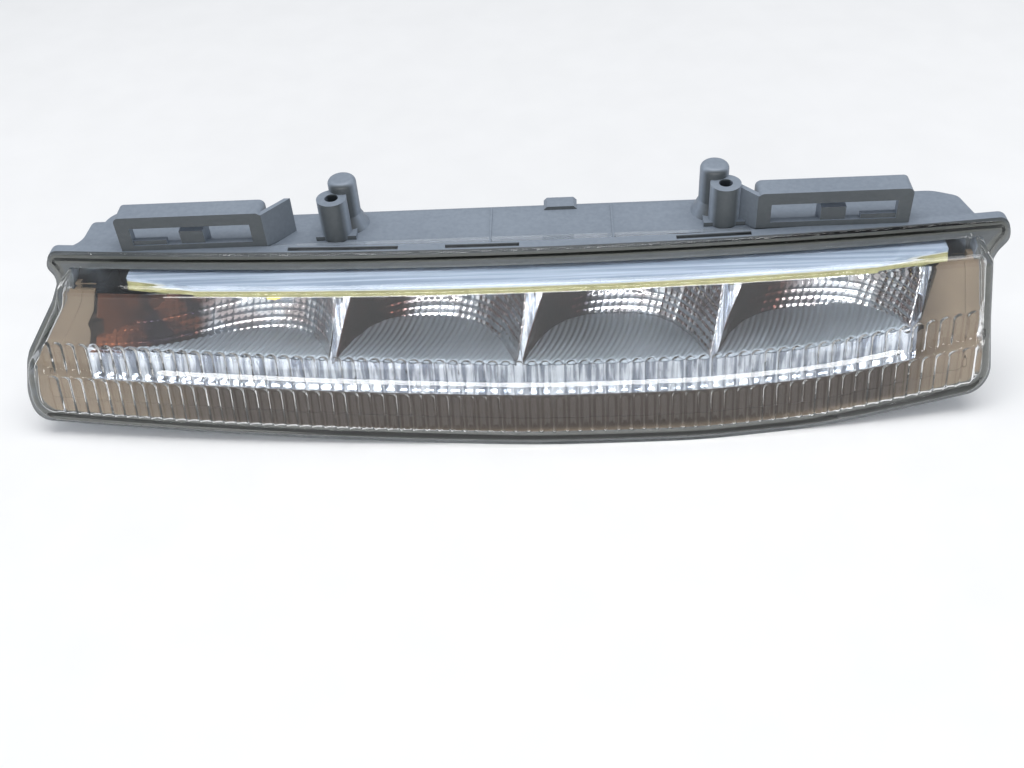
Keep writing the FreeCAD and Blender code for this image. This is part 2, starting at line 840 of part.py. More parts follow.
def make_capacitors():
    cans = []
    z = driver_low + piece_rise
    for x in can_spots:
        can = along_y(can_radius, can_height, x, driver_face_y - can_height, z)
        cans.append(on_board(x, z, can_base, can_base, base_height).fuse(can))
    return Part.makeCompound(cans)


def make_terminals():
    near = driver_face_y - blade_tail
    return Part.makeCompound([blade(x, near, tub_back + blade_reach) for x in blade_spots()])


def make_lead(x):
    """Short insulated lead from the driver board up to the board over the cells."""
    start = V(x, driver_face_y, lead_drop)
    corner = V(x, lead_y, lead_drop)
    end = V(x, lead_y, cell_top)
    before = corner + V(0, lead_bend, 0)
    after = corner + V(0, 0, lead_bend)
    turn = lead_bend * (1 - math.sqrt(0.5))
    middle = corner + V(0, turn, turn)
    path = Part.Wire([Part.LineSegment(start, before).toShape(), Part.Arc(before, middle, after).toShape(),
                      Part.LineSegment(after, end).toShape()])
    circle = Part.Wire(Part.makeCircle(lead_radius, start, V(0, 1, 0)))
    return path.makePipeShell([circle], True, False)


def make_socket_seal():
    return socket_ring(0.0, seal_depth, tub_back).cut(socket_ring(-seal_wall, seal_depth, tub_back))


def make_vent_cap():
    length = vent_length + cap_wall
    outer = along_y(vent_outer + cap_gap + cap_wall, length, vent_x, tub_back, vent_z)
    back = tub_back + length
    outer = outer.makeFillet(cap_radius, [e for e in outer.Edges if e.CenterOfMass.y > back - 0.1])
    bore = along_y(vent_outer + cap_gap, vent_length + membrane_thickness, vent_x, tub_back, vent_z)
    notch = box(vent_x - cap_notch / 2, vent_x + cap_notch / 2, tub_back, tub_back + vent_length,
                -far, vent_z)
    return outer.cut(bore).cut(notch)


def make_parts():
    parts = {
        "housing": make_housing(),
        "lens": make_lens(),
        "lens_seal": make_seal(),
        "reflector": make_reflector(),
        "bezel": make_bezel(),
        "led_board": plate(cell_top, board_thickness, board_lip),
        "thermal_pad": plate(cell_top + board_thickness, pad_thickness, 0.0),
        "heat_spreader": plate(cell_top + board_thickness + pad_thickness, spreader_thickness, 0.0),
        "driver_board": make_driver_board(),
        "driver_chip": make_driver_chip(),
        "inductor": make_inductor(),
        "capacitors": make_capacitors(),
        "terminals": make_terminals(),
        "socket_seal": make_socket_seal(),
        "vent_cap": make_vent_cap(),
        "vent_membrane": along_y(vent_outer, membrane_thickness, vent_x, tub_back + vent_length, vent_z),
    }
    for i in range(len(apexes)):
        parts["led_%d" % (i + 1)] = make_led(i)
    for name, x in lead_spots.items():
        parts[name] = make_lead(x)
    seat = cell_top + plate_stack
    screws = {
        "board_screws": [screw_z(x, board_screw_y, seat, board_screw_length) for x in partition_tops()],
        "reflector_screws": [screw_y(x, y - ear_wall, z, ear_screw_length) for x, y, z in ear_spots()],
        "driver_screws": [screw_y(x, driver_face_y, z, driver_screw_length) for x, z in driver_spots()],
    }
    for name, group in screws.items():
        parts[name] = Part.makeCompound(group)
    return parts


os.makedirs("parts", exist_ok=True)
for name, shape in make_parts().items():
    shape.exportStep("parts/%s.step" % name)
    print(name, len(shape.Solids), round(shape.Volume, 1), shape.isValid())
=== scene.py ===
import bmesh
import bpy
import math
import numpy as np
from mathutils import Matrix, Vector
from mathutils.geometry import tessellate_polygon


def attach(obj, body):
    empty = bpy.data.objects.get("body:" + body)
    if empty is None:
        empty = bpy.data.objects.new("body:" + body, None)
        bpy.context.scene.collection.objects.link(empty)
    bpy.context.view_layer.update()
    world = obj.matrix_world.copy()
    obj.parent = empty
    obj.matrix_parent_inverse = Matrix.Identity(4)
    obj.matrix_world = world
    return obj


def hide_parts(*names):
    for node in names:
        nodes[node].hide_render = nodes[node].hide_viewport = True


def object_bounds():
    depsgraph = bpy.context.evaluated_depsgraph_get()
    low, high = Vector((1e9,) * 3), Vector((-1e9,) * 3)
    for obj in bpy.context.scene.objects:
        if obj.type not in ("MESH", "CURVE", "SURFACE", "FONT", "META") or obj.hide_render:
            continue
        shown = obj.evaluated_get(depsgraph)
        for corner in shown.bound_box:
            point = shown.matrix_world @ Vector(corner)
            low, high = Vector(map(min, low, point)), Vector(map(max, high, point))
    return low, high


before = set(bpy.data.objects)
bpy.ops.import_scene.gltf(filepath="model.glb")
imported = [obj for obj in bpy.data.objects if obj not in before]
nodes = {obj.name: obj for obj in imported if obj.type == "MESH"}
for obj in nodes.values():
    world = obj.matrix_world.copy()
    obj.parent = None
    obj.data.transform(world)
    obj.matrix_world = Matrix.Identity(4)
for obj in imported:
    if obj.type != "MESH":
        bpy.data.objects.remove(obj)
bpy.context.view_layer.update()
mm = 0.001  # sizes below are written in millimetres and scaled once, when a mesh is made
print("frame loaded:", len(nodes), "nodes")

# the lamp's main lines, the same for every piece
lamp = {
    "bowRadius": 1350.0, "rimTop": -11.0, "rimFront": -11.1, "rimLean": 22.0, "rimBottom": -62.6,
    "left": -143.6, "right": 124.6, "roofY": -21.9, "roofZ": -14.6, "roofSlope": 9.6, "faceLean": 14.7,
}


def tan(angle):
    return math.tan(math.radians(angle))


def bowBack(x):
    return lamp["bowRadius"] - np.sqrt(lamp["bowRadius"] ** 2 - np.asarray(x, float) ** 2)


def rimY(x, z):
    return lamp["rimFront"] + (z - lamp["rimTop"]) * tan(lamp["rimLean"]) + bowBack(x)


def faceY(x, z):
    return lamp["roofY"] - (lamp["roofZ"] - z) * tan(lamp["faceLean"]) + bowBack(x)


def smooth(t):
    t = np.clip(t, 0.0, 1.0)
    return t * t * (3 - 2 * t)


# closed line through (x, z, radius) corners with round turns, as an array of points
def roundedLine(corners, step=1.0):
    points = []
    count = len(corners)
    for i, (x, z, radius) in enumerate(corners):
        here = Vector((x, z))
        back = (Vector(corners[i - 1][:2]) - here).normalized()
        ahead = (Vector(corners[(i + 1) % count][:2]) - here).normalized()
        half = back.angle(ahead) / 2
        cut = radius / math.tan(half)
        centre = here + (back + ahead).normalized() * (radius / math.sin(half))
        start = here + back * cut - centre
        turn = start.angle_signed(here + ahead * cut - centre)
        pieces = max(2, int(abs(turn) * radius / step) + 1)
        for k in range(pieces + 1):
            spin = Matrix.Rotation(-turn * k / pieces, 2)
            points.append(centre + spin @ start)
    line = []
    for a, b in zip(points, points[1:] + points[:1]):
        pieces = max(1, int((b - a).length / step))
        line += [a.lerp(b, k / pieces) for k in range(pieces)]
    return np.array([tuple(p) for p in line])


# outward unit normals of a closed line that runs anticlockwise
def lineNormals(line):
    run = np.roll(line, -1, 0) - np.roll(line, 1, 0)
    run /= np.maximum(np.linalg.norm(run, axis=1), 1e-9)[:, None]
    return np.stack([run[:, 1], -run[:, 0]], 1)


def anticlockwise(line):
    x, z = line.T
    area = np.sum(x * np.roll(z, -1) - np.roll(x, -1) * z)
    return line if area > 0 else line[::-1]


# lower and upper edges of a closed line, each from left to right
def chains(line):
    line = anticlockwise(line)
    line = np.roll(line, -int(np.argmin(line[:, 0])), 0)
    far = int(np.argmax(line[:, 0]))
    return line[:far + 1], np.concatenate([line[far:], line[:1]])[::-1]


def levelAt(chain, x):
    return np.interp(x, chain[:, 0], chain[:, 1])


leftEnd, rightEnd = lamp["left"], lamp["right"]
lowEdge, topEdge = lamp["rimBottom"], lamp["rimTop"]
# corners of the rim as x, z and radius, clockwise from the top left
rimLine = anticlockwise(roundedLine((
    (leftEnd + 13.0, topEdge, 3.0), (rightEnd + 0.6, topEdge, 3.0),
    (rightEnd + 0.6, topEdge - 5.0, 3.0), (rightEnd - 3.8, topEdge - 9.0, 6.0),
    (rightEnd - 0.6, lowEdge + 8.3, 7.0), (78.0, lowEdge + 1.6, 200.0),
    (45.0, lowEdge, 300.0), (0.0, lowEdge + 0.4, 500.0),
    (leftEnd + 1.4, lowEdge + 6.4, 5.5), (leftEnd, lowEdge + 14.1, 12.0),
    (leftEnd + 2.0, lowEdge + 24.1, 10.0), (leftEnd + 12.2, topEdge - 13.0, 8.0),
    (leftEnd + 15.4, topEdge - 6.5, 3.0), (leftEnd + 12.8, topEdge - 4.0, 2.0),
)))
rimLower = chains(rimLine)[0]


# height above the rim's lower edge, which the floors, the lip and the flutes follow
def rise(x, z):
    return z - levelAt(rimLower, x)


def addMesh(name, points, faces, material, smoothShade=True):
    mesh = bpy.data.meshes.new(name)
    mesh.from_pydata([tuple(p) for p in np.asarray(points) * mm], [], faces)
    mesh.validate()
    mesh.materials.append(material)
    if smoothShade:
        mesh.polygons.foreach_set("use_smooth", [True] * len(mesh.polygons))
    item = bpy.data.objects.new(name, mesh)
    bpy.context.scene.collection.objects.link(item)
    return item


# quads between columns of points; point (i, j) is start + i * rows + j
def gridFaces(columns, rows, start=0):
    faces = []
    for i in range(columns - 1):
        for j in range(rows - 1):
            a = start + i * rows + j
            faces.append((a, a + rows, a + rows + 1, a + 1))
    return faces


# clear lens: outer skin, pillow flutes inside, flange in the rim
lens = {
    "faceSet": 0.58, "sideInset": 1.5, "bottomInset": 1.9, "wall": 2.2,
    "flange": 1.4, "flangeInset": 0.25, "edge": 2.4, "edgeSteps": 7, "wallSteps": 6,
    "outerStep": 0.9, "innerStep": 0.4, "outerRows": 50, "innerRows": 66,
    "columnInset": 0.01, "endRun": 6.0, "endColumns": 20, "endCrowding": 1.7,
    "flutePitch": 3.5, "fluteLeft": -135.0, "fluteRight": 119.0, "fluteDepth": 0.8,
    "fluteTop": 25.5, "fluteBottom": -9.0, "tierSplit": 15.6,
    "crownRise": 18.6, "crownHeight": 0.5, "crownWidth": 1.5, "weld": 0.002,
}


# the lens's front outline, set in from its own edge
def lensLine(inset):
    start = leftEnd + lens["sideInset"]
    end = rightEnd - lens["sideInset"]
    base = lowEdge + lens["bottomInset"]
    line = anticlockwise(roundedLine((
        (start + 15.9, lamp["roofZ"], 3.4), (end - 4.2, lamp["roofZ"], 3.4),
        (end - 3.8, topEdge - 9.0, 10.0), (end - 0.6, base + 8.3, 7.0),
        (78.0, base + 1.6, 200.0), (45.0, base, 300.0), (0.0, base + 0.4, 500.0),
        (start + 0.4, base + 6.2, 7.0), (start + 1.4, lowEdge + 23.0, 14.0),
        (start + 15.4, topEdge - 8.5, 12.0),
    )))
    return line - lineNormals(line) * inset


# places of the columns: even in the middle and closer towards both ends
def columnPlaces(chain, step):
    start = chain[0, 0] + lens["columnInset"]
    end = chain[-1, 0] - lens["columnInset"]
    ends = lens["endRun"] * (np.arange(lens["endColumns"]) / lens["endColumns"]) ** lens["endCrowding"]
    middle = np.arange(start + lens["endRun"], end - lens["endRun"], step)
    return np.concatenate([start + ends, middle, (end - ends)[::-1]])


# how far the pillows on the inside stand proud, in two tiers with round ends
def fluteDepth(x, z):
    half = lens["flutePitch"] / 2
    across = (np.mod((x - lens["fluteLeft"]) / lens["flutePitch"], 1.0) - 0.5) * lens["flutePitch"]
    height = rise(x, z)
    upper = height > lens["tierSplit"]
    base = np.where(upper, lens["tierSplit"], lens["fluteBottom"])
    peak = np.where(upper, lens["fluteTop"], lens["tierSplit"])
    over = np.maximum(0.0, np.maximum(base + half - height, height - peak + half))
    reach = np.sqrt(across ** 2 + over ** 2)
    depth = lens["fluteDepth"]
    radius = (half ** 2 + depth ** 2) / (2 * depth)
    dome = np.sqrt(np.maximum(0.0, radius ** 2 - reach ** 2)) - (radius - depth)
    inside = (x > lens["fluteLeft"]) & (x < lens["fluteRight"])
    return np.where(inside & (reach < half), dome, 0.0)


# low ridge along the outside, which carries the long highlight
def crown(x, z):
    return lens["crownHeight"] * np.exp(-((rise(x, z) - lens["crownRise"]) / lens["crownWidth"]) ** 2)


def lensFaceY(x, z):
    return faceY(x, z) + lens["faceSet"]


def outerY(x, z):
    return lensFaceY(x, z) - crown(x, z)


def frontGrid(line, step, rows):
    lower, upper = chains(line)
    x = columnPlaces(lower, step)
    share = np.linspace(0.0, 1.0, rows)
    z = levelAt(lower, x)[:, None] * (1 - share) + levelAt(upper, x)[:, None] * share
    return np.repeat(x[:, None], rows, 1), z


# indices round a grid's border: along the bottom, up the right, back and down
def gridEdge(columns, rows):
    bottom = [i * rows for i in range(columns)]
    side = [(columns - 1) * rows + j for j in range(1, rows)]
    back = [i * rows + rows - 1 for i in range(columns - 2, -1, -1)]
    return bottom + side + back + list(range(rows - 2, 0, -1))


# quads between two closed loops of as many points
def stitch(a, b):
    count = len(a)
    return [(a[i], a[(i + 1) % count], b[(i + 1) % count], b[i]) for i in range(count)]


def makeLens(material):
    points = []
    faces = []

    def addLoop(x, y, z):
        start = len(points)
        points.extend(zip(x, y, z))
        return list(range(start, start + len(x)))

    def addSkin(inset, step, rows, yOf):
        x, z = frontGrid(lensLine(inset), step, rows)
        start = len(points)
        points.extend(zip(x.ravel(), yOf(x, z).ravel(), z.ravel()))
        faces.extend(gridFaces(len(x), rows, start))
        edge = gridEdge(len(x), rows)
        flat = np.stack([x.ravel()[edge], z.ravel()[edge]], 1)
        return [start + i for i in edge], flat

    # carries a loop back to the rim, rising with the roof along its top
    def addWall(loop, flat, normals, fromY, toY):
        lift = np.clip(normals[:, 1], 0.0, 1.0) ** 2 * tan(lamp["roofSlope"])
        flat = flat.copy()
        for k in range(1, lens["wallSteps"] + 1):
            share = k / lens["wallSteps"]
            z = flat[:, 1] + lift * (toY(flat) - fromY) * share
            y = fromY * (1 - share) + toY(np.stack([flat[:, 0], z], 1)) * share
            ahead = addLoop(flat[:, 0], y, z)
            faces.extend(stitch(loop, ahead))
            loop = ahead
        return loop, np.stack([flat[:, 0], z], 1)

    edge = lens["edge"]
    outerLoop, flat = addSkin(edge, lens["outerStep"], lens["outerRows"], outerY)
    normals = lineNormals(flat)
    for k in range(1, lens["edgeSteps"] + 1):
        turn = math.pi / 2 * k / lens["edgeSteps"]
        ring = flat + normals * edge * math.sin(turn)
        y = outerY(*ring.T) + edge * (1 - math.cos(turn))
        ahead = addLoop(ring[:, 0], y, ring[:, 1])
        faces.extend(stitch(outerLoop, ahead))
        outerLoop = ahead
    outerEnd, outerFlat = addWall(outerLoop, ring, normals, y, lambda p: rimY(p[:, 0], p[:, 1]))

    wall = lens["wall"]
    wallDeep = wall / math.cos(math.radians(lamp["faceLean"]))
    innerLoop, flat = addSkin(wall, lens["innerStep"], lens["innerRows"],
                              lambda x, z: lensFaceY(x, z) + wallDeep + fluteDepth(x, z))
    y = lensFaceY(*flat.T) + wallDeep + fluteDepth(*flat.T)
    innerEnd, innerFlat = addWall(innerLoop, flat, lineNormals(flat), y,
                                  lambda p: rimY(p[:, 0], p[:, 1]) + lens["flange"])

    rim = rimLine - lineNormals(rimLine) * lens["flangeInset"]
    front = addLoop(rim[:, 0], rimY(rim[:, 0], rim[:, 1]), rim[:, 1])
    back = addLoop(rim[:, 0], rimY(rim[:, 0], rim[:, 1]) + lens["flange"], rim[:, 1])
    faces.extend(stitch(front, back))
    for ring, hole, holeFlat in ((front, outerEnd, outerFlat), (back, innerEnd, innerFlat)):
        index = ring + hole
        loops = [[Vector((x, z, 0)) for x, z in loop] for loop in (rim, holeFlat)]
        faces.extend(tuple(index[i] for i in face) for face in tessellate_polygon(loops))
    return addMesh("clearLens", points, faces, material)


# joins doubled points, turns every face outward and reports whether the skin is closed
def tidyNormals(item):
    work = bmesh.new()
    work.from_mesh(item.data)
    bmesh.ops.remove_doubles(work, verts=work.verts, dist=lens["weld"] * mm)
    bmesh.ops.recalc_face_normals(work, faces=work.faces)
    openEdges = sum(1 for edge in work.edges if len(edge.link_faces) != 2)
    print("lens edges not shared by two faces:", openEdges)
    work.to_mesh(item.data)
    work.free()
    item.data.polygons.foreach_set("use_smooth", [True] * len(item.data.polygons))


# bezel foot: turned-out edge of the bezel that fills the lens's mouth, but for its roof
bezelFoot = {
    "clearance": 0.14, "width": 3.6, "set": 0.1, "thickness": 0.24, "topEnd": -19.5,
}


def makeBezelFoot(material):
    outer = lensLine(lens["wall"] + bezelFoot["clearance"])
    outer = np.roll(outer, -int(np.argmax(outer[:, 1])), 0)
    inner = outer - lineNormals(outer) * bezelFoot["width"]
    keep = outer[:, 1] < bezelFoot["topEnd"]
    first = int(np.argmax(keep))
    last = len(keep) - int(np.argmax(keep[::-1]))
    points = []
    for edge in (outer[first:last], inner[first:last]):
        y = rimY(edge[:, 0], edge[:, 1]) + bezelFoot["set"] + bezelFoot["thickness"] / 2
        points += list(zip(edge[:, 0], y, edge[:, 1]))
    count = last - first
    faces = [(i, i + 1, count + i + 1, count + i) for i in range(count - 1)]
    item = addMesh("bezelFoot", points, faces, material, False)
    closeSkin(item, bezelFoot["thickness"])
    return item


# reflector cells: pillowed walls and ribbed floors over the moulded ones
cells = {
    "top": -19.9, "height": 19.1, "shift": 5.0, "lean": 3.0, "rows": 5, "floorRise": 23.2,
    "partitions": (-54.7, -3.8, 47.9, 100.0), "partitionWall": 1.2, "apexes": (-9.1, -3.2, -3.0, -4.5),
    "firstEnd": -121.0, "firstCentre": -73.0, "longDepth": 9.0, "longRun": 38.0,
    "longSteps": 9, "planSteps": 6, "planRoundness": 0.25, "lipY": -24.2, "roofEdgeY": -17.3,
    "gap": 0.1, "frontGaps": (-0.12, 0.15, 0.15, 0.15), "leastDepth": 0.02,
    "wallStep": 0.27, "wallEnds": 0.1, "wallBelowFloor": 0.3, "wallSkin": 0.05,
    "pillowWidth": 1.8, "pillowHeight": 2.1, "pillowDepth": 0.3, "pillowFade": 1.5, "smoothRun": 5.5,
    "floorStep": 0.3, "floorRows": 60, "floorGap": 0.15, "floorLift": 0.06, "floorSkin": 0.04,
    "ribPitch": 1.6, "ribHeight": 0.52, "ribSlant": 0.62, "ribCurve": 0.012,
    "ribFade": 1.2, "ribFadeAcross": 3.0,
}


# depth of the cells' open front at a height
def lipY(x, z):
    knee = cells["top"] - cells["height"]
    slope = (cells["roofEdgeY"] - cells["lipY"]) / cells["height"]
    return cells["lipY"] + (z - knee) * slope + bowBack(x)


# how far a cell's wall has come forward at a share of its way from the middle to the partition
def cellCurve(share):
    roundness = cells["planRoundness"]
    return roundness * share ** 2 + (1 - roundness) * share ** 4


# plan of one cell's wall as in the moulding, from left to right
def cellPlan(index, grow):
    start = cells["partitions"][index - 1]
    end = cells["partitions"][index]
    half = cells["partitionWall"] / 2
    centre = (start + end) / 2
    reachLeft = centre - start - half + grow
    steps = cells["planSteps"]
    if index == 0:
        centre = cells["firstCentre"]
        reachLeft = centre - cells["firstEnd"] + grow
        steps = cells["longSteps"]
    apex = cells["apexes"][index]
    reachRight = end - centre - half + grow
    depth = cells["lipY"] + float(bowBack(centre)) - apex
    plan = []
    for i in range(steps + 1):
        run = reachLeft * (1 - i / steps)
        if index == 0:
            fall = cells["longDepth"] * math.sin(math.pi / 2 * min(1.0, run / cells["longRun"])) ** 2
        else:
            fall = -depth * cellCurve(run / reachLeft)
        plan.append((centre - run, apex + grow - fall))
    for i in range(1, cells["planSteps"] + 1):
        share = i / cells["planSteps"]
        plan.append((centre + reachRight * share, apex + grow + depth * cellCurve(share)))
    return np.array(plan)


# sideways shift and lean of a cell's wall at a height, in the moulding's straight steps
def cellOffset(z):
    knots = np.linspace(0.0, 1.0, cells["rows"] + 1)
    drop = (cells["top"] - np.asarray(z, float)) / cells["height"]
    return cells["shift"] * (1 - drop), np.interp(drop, knots, cells["lean"] * (1 - knots ** 2))


def floorZ(x):
    return levelAt(rimLower, x) + cells["floorRise"]


def closeSkin(item, thickness):
    solid = item.modifiers.new("thickness", "SOLIDIFY")
    solid.thickness = thickness * mm
    solid.offset = 0.0


def setPlace(item, values):
    place = item.data.attributes.new("place", "FLOAT", "POINT")
    place.data.foreach_set("value", np.asarray(values, np.float32).ravel())


def makeCellWall(index, material):
    plan = cellPlan(index, -cells["gap"])
    run = np.concatenate([[0.0], np.cumsum(np.linalg.norm(np.diff(plan, axis=0), axis=1))])
    along = np.arange(0.0, run[-1], cells["wallStep"])
    x = np.interp(along, run, plan[:, 0])
    y = np.interp(along, run, plan[:, 1])
    rows = int(cells["height"] / cells["wallStep"])
    high = cells["top"] - cells["wallEnds"]
    z = np.linspace(high, cells["top"] - cells["height"] + cells["wallEnds"], rows)
    shift, lean = cellOffset(z)
    grid = np.stack([x[:, None] + shift, y[:, None] + lean, np.repeat(z[None], len(x), 0)], 2)
    normal = np.cross(np.gradient(grid, axis=0), np.gradient(grid, axis=1))
    normal /= np.linalg.norm(normal, axis=2)[..., None]
    normal *= np.where(normal[..., 1] > 0, -1.0, 1.0)[..., None]
    across = (np.mod(along / cells["pillowWidth"], 1.0) - 0.5)[:, None]
    upright = (np.mod((z - z[0]) / cells["pillowHeight"], 1.0) - 0.5)[None]
    dome = np.clip(1 - 4 * across ** 2, 0, 1) * np.clip(1 - 4 * upright ** 2, 0, 1)
    smoothRun = 0.0 if index == 0 else cells["smoothRun"]
    fade = smooth((along - smoothRun) / cells["pillowFade"])[:, None]
    grid = grid + normal * (cells["pillowDepth"] * np.sqrt(dome) * fade)[..., None]
    depth = lipY(grid[..., 0], grid[..., 2]) + cells["frontGaps"][index]
    grid[..., 1] = np.maximum(grid[..., 1], depth)
    points = grid.reshape(-1, 3)
    points[:, 2] = np.maximum(points[:, 2], floorZ(points[:, 0]) - cells["wallBelowFloor"])
    item = addMesh("cellWall%d" % (index + 1), points, gridFaces(len(along), rows), material)
    setPlace(item, np.repeat(along / run[-1], rows))
    closeSkin(item, cells["wallSkin"])
    return item


def makeCellFloor(index, material):
    start = cells["partitions"][index - 1] + cells["partitionWall"] / 2
    end = cells["partitions"][index] - cells["partitionWall"] / 2
    if index == 0:
        start = cells["firstEnd"]
    plan = cellPlan(index, 0.0)
    x = np.arange(start, end, cells["floorStep"]) + cells["gap"]
    level = floorZ(x)
    shift, lean = cellOffset(level)
    x = x + shift
    back = np.interp(x - shift, plan[:, 0], plan[:, 1]) + lean
    front = lipY(x, level) + cells["floorGap"]
    back = np.maximum(back, front + cells["leastDepth"])
    rows = cells["floorRows"]
    share = np.linspace(0.0, 1.0, rows)
    y = front[:, None] * (1 - share) + back[:, None] * share
    deep = y - front[:, None]
    wide = np.repeat(x[:, None], rows, 1)
    phase = (wide - deep * cells["ribSlant"] + cells["ribCurve"] * deep ** 2) / cells["ribPitch"]
    rib = np.abs(np.mod(phase, 1.0) - 0.5) * 2
    edge = smooth(deep / cells["ribFade"]) * smooth((back - front)[:, None] / cells["ribFadeAcross"])
    z = floorZ(wide) + cells["floorLift"] + cells["ribHeight"] * (1 - rib ** 2) * edge
    points = np.stack([wide, y, z], 2).reshape(-1, 3)
    item = addMesh("cellFloor%d" % (index + 1), points, gridFaces(len(x), rows), material)
    closeSkin(item, cells["floorSkin"])
    return item


# scales of the noises, and the bumps' depths in metres
grain = {
    "moulded": 900.0, "broad": 30.0, "rolled": 700.0, "haze": 60.0, "patch": 160.0, "floor": 45.0,
    "metallised": 900.0, "mottle": 120.0, "weave": 400.0, "driverBoard": 300.0,
    "stage": 60.0, "fineDepth": 0.0002, "streakDepth": 0.0004,
}


def newMaterial(name, roughness, metallic=0.0):
    material = bpy.data.materials.new(name)
    material.use_nodes = True
    tree = material.node_tree
    shader = tree.nodes["Principled BSDF"]
    shader.inputs["Roughness"].default_value = roughness
    shader.inputs["Metallic"].default_value = metallic
    return material, tree, shader


def ownPlaces(tree):
    return tree.nodes.new("ShaderNodeTexCoord").outputs["Object"]


def scaled(tree, places, scale):
    mapping = tree.nodes.new("ShaderNodeMapping")
    mapping.inputs["Scale"].default_value = scale
    tree.links.new(places, mapping.inputs["Vector"])
    return mapping.outputs[0]


def noise(tree, places, scale, detail=2.0):
    texture = tree.nodes.new("ShaderNodeTexNoise")
    texture.inputs["Scale"].default_value = scale
    texture.inputs["Detail"].default_value = detail
    tree.links.new(places, texture.inputs["Vector"])
    return texture.outputs["Fac"]


def ramp(tree, value, stops):
    node = tree.nodes.new("ShaderNodeValToRGB")
    elements = node.color_ramp.elements
    while len(elements) < len(stops):
        elements.new(0.5)
    for element, (place, colour) in zip(elements, stops):
        element.position = place
        element.color = colour + (1.0,)
    tree.links.new(value, node.inputs[0])
    return node.outputs[0]


def calc(tree, operation, a, b=0.0):
    node = tree.nodes.new("ShaderNodeMath")
    node.operation = operation
    for socket, value in zip(node.inputs, (a, b)):
        if isinstance(value, float):
            socket.default_value = value
        else:
            tree.links.new(value, socket)
    return node.outputs[0]


def blend(tree, share, a, b):
    node = tree.nodes.new("ShaderNodeMix")
    node.data_type = "RGBA"
    tree.links.new(share, node.inputs[0])
    for socket, value in ((node.inputs[6], a), (node.inputs[7], b)):
        if isinstance(value, tuple):
            socket.default_value = value + (1.0,)
        else:
            tree.links.new(value, socket)
    return node.outputs[2]


def addBump(tree, shader, height, strength, distance):
    bump = tree.nodes.new("ShaderNodeBump")
    bump.inputs["Strength"].default_value = strength
    bump.inputs["Distance"].default_value = distance
    tree.links.new(height, bump.inputs["Height"])
    tree.links.new(bump.outputs[0], shader.inputs["Normal"])


# tone between two colours by a noise, from one share of it to another
def noiseTone(tree, scale, start, dark, end, light):
    return ramp(tree, noise(tree, ownPlaces(tree), scale), ((start, dark), (end, light)))


# a moulded or cast finish: two close tones in fine grain, with a slight bump
def grainMaterial(name, dark, light, roughness, scale=grain["moulded"], bump=0.15):
    material, tree, shader = newMaterial(name, roughness)
    places = ownPlaces(tree)
    fine = noise(tree, places, scale)
    broad = noise(tree, places, grain["broad"])
    tone = calc(tree, "ADD", calc(tree, "MULTIPLY", fine, 0.5), calc(tree, "MULTIPLY", broad, 0.5))
    tree.links.new(ramp(tree, tone, ((0.35, dark), (0.65, light))), shader.inputs["Base Color"])
    addBump(tree, shader, fine, bump, grain["fineDepth"])
    return material


# brushed or rolled metal: long fine streaks along X
def streakMaterial(name, dark, light, roughness, metallic):
    material, tree, shader = newMaterial(name, roughness, metallic)
    streaks = noise(tree, scaled(tree, ownPlaces(tree), (0.02, 1.0, 1.0)), grain["rolled"], 3.0)
    tree.links.new(ramp(tree, streaks, ((0.4, dark), (0.62, light))), shader.inputs["Base Color"])
    addBump(tree, shader, streaks, 0.3, grain["fineDepth"])
    return material


# clear plastic, whose shadow lets the lamps' light through
def lensMaterial():
    material, tree, shader = newMaterial("clearLensLook", 0.0)
    shader.inputs["IOR"].default_value = 1.49
    shader.inputs["Specular IOR Level"].default_value = 0.26
    shader.inputs["Transmission Weight"].default_value = 1.0
    haze = noiseTone(tree, grain["haze"], 0.3, (0.97, 0.98, 0.97), 0.7, (1.0, 1.0, 1.0))
    tree.links.new(haze, shader.inputs["Base Color"])
    clear = tree.nodes.new("ShaderNodeBsdfTransparent")
    mix = tree.nodes.new("ShaderNodeMixShader")
    path = tree.nodes.new("ShaderNodeLightPath")
    tree.links.new(path.outputs["Is Shadow Ray"], mix.inputs[0])
    tree.links.new(shader.outputs[0], mix.inputs[1])
    tree.links.new(clear.outputs[0], mix.inputs[2])
    tree.links.new(mix.outputs[0], tree.nodes["Material Output"].inputs["Surface"])
    return material


# metallised cell wall with painted reflection: dark and copper tones at its left, white in the middle,
# grey at its right
def cellWallMaterial(name, dark, warmReflection):
    material, tree, shader = newMaterial(name, 0.07, 1.0)
    place = tree.nodes.new("ShaderNodeAttribute")
    place.attribute_name = "place"
    # painted reflection along the wall, with copper patches painted as reflection of warm surroundings
    shade = ramp(tree, place.outputs["Fac"], (
        (0.0, warmReflection), (0.2, dark), (0.38, dark), (0.46, (0.6, 0.62, 0.66)), (0.55, (0.74, 0.76, 0.8)),
        (0.72, (0.74, 0.77, 0.8)), (0.86, (0.6, 0.63, 0.66)), (1.0, (0.72, 0.75, 0.78))))
    warmReflectionPatches = noiseTone(tree, grain["patch"], 0.42, (0.0, 0.0, 0.0), 0.6, (0.45, 0.45, 0.45))
    tree.links.new(blend(tree, warmReflectionPatches, shade, warmReflection), shader.inputs["Base Color"])
    return material


def cellFloorMaterial():
    material, tree, shader = newMaterial("cellFloorLook", 0.25, 0.4)
    tone = noiseTone(tree, grain["floor"], 0.3, (0.21, 0.25, 0.295), 0.7, (0.3, 0.345, 0.4))
    tree.links.new(tone, shader.inputs["Base Color"])
    return material


# x, y and z of a place or a direction as three sockets
def split(tree, vector):
    parts = tree.nodes.new("ShaderNodeSeparateXYZ")
    tree.links.new(vector, parts.inputs[0])
    return parts.outputs


# silver with fine upright streaks, and painted shade at the first cell's closed end; limits in metres
reflectorPaint = {
    "shadeLeftOf": -0.1125, "shadeAbove": -0.033, "dark": (0.03, 0.022, 0.018),
    "shadow": (0.22, 0.25, 0.31), "silver": (0.64, 0.68, 0.75), "bump": 0.8,
}


